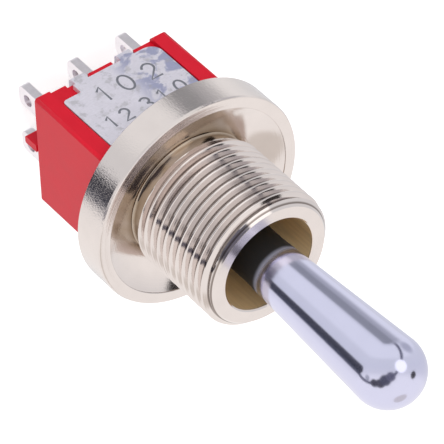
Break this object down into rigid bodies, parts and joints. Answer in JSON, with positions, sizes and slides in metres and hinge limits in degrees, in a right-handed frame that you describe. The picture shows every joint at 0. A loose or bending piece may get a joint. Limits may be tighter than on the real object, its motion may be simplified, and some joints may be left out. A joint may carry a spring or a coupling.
{
  "type": "panel switch",
  "caption": "Sealed miniature toggle switch with a metal bat lever, threaded bushing with a round dished flange, red case in a steel frame and two rows of solder lugs.",
  "frame": {"origin": "on the axis of the bushing, in the plane of the flange's front rim, which seals against the back of the panel and where the thread begins", "axes": "+Z along the bushing towards the lever's tip; +X along a row of three solder lugs, the way the lever swings; +Y out of one of the case's two steel-covered sides"},
  "size_m": [0.019, 0.019, 0.0425],
  "materials": {
    "nickel_plate": "bright nickel plate on brass",
    "frame_steel": "tin plate, slightly mottled",
    "red_moulding": "glossy moulded thermoset",
    "chrome_plate": "bright chrome plate",
    "spring_steel": "drawn wire",
    "black_rubber": "matt",
    "white_nylon": "as moulded",
    "brass": "turned",
    "contact_brass": "silver washed",
    "tinned_brass": "tin plate",
    "silver": "polished",
    "sealing_compound": "cast resin"
  },
  "bodies": {
    "housing": {"bushing": "nickel_plate", "frame": "frame_steel", "case": "red_moulding", "terminal_a1": "tinned_brass", "terminal_a2": "tinned_brass", "terminal_a3": "tinned_brass", "fixed_contact_a1": "silver", "fixed_contact_a3": "silver", "terminal_seal_a": "sealing_compound", "terminal_b1": "tinned_brass", "terminal_b2": "tinned_brass", "terminal_b3": "tinned_brass", "fixed_contact_b1": "silver", "fixed_contact_b3": "silver", "terminal_seal_b": "sealing_compound"},
    "lever": {"lever": "chrome_plate", "lever_pin": "spring_steel", "lever_seal": "black_rubber", "actuator": "white_nylon", "plunger_spring_a": "spring_steel", "plunger_spring_b": "spring_steel"},
    "plunger_a": {"plunger_a": "brass"},
    "rocking_contact_a": {"rocking_contact_a": "contact_brass"},
    "plunger_b": {"plunger_b": "brass"},
    "rocking_contact_b": {"rocking_contact_b": "contact_brass"}
  },
  "joints": [
    {"name": "lever_tilt", "type": "hinge", "parent": "housing", "child": "lever", "pos_m": [0, 0, 0.0006], "axis": [0, 1, 0], "range_deg": [-12, 12]},
    {"name": "plunger_a_slide", "type": "slide", "parent": "lever", "child": "plunger_a", "axis": [0, 0, 1], "range_m": [0, 0.0004], "stiffness_N_per_m": 40, "springref_m": -0.0004, "deforming": ["plunger_spring_a"]},
    {"name": "rocking_contact_a_tilt", "type": "hinge", "parent": "housing", "child": "rocking_contact_a", "pos_m": [0, 0.00242, -0.01], "axis": [0, 1, 0], "range_deg": [-6, 6]},
    {"name": "plunger_b_slide", "type": "slide", "parent": "lever", "child": "plunger_b", "axis": [0, 0, 1], "range_m": [0, 0.0004], "stiffness_N_per_m": 40, "springref_m": -0.0004, "deforming": ["plunger_spring_b"]},
    {"name": "rocking_contact_b_tilt", "type": "hinge", "parent": "housing", "child": "rocking_contact_b", "pos_m": [0, -0.00242, -0.01], "axis": [0, 1, 0], "range_deg": [-6, 6]}
  ],
  "couplings": [
    {"joint": "rocking_contact_a_tilt", "follows": "lever_tilt", "ratio": -0.5},
    {"joint": "rocking_contact_b_tilt", "follows": "lever_tilt", "ratio": -0.5}
  ]
}
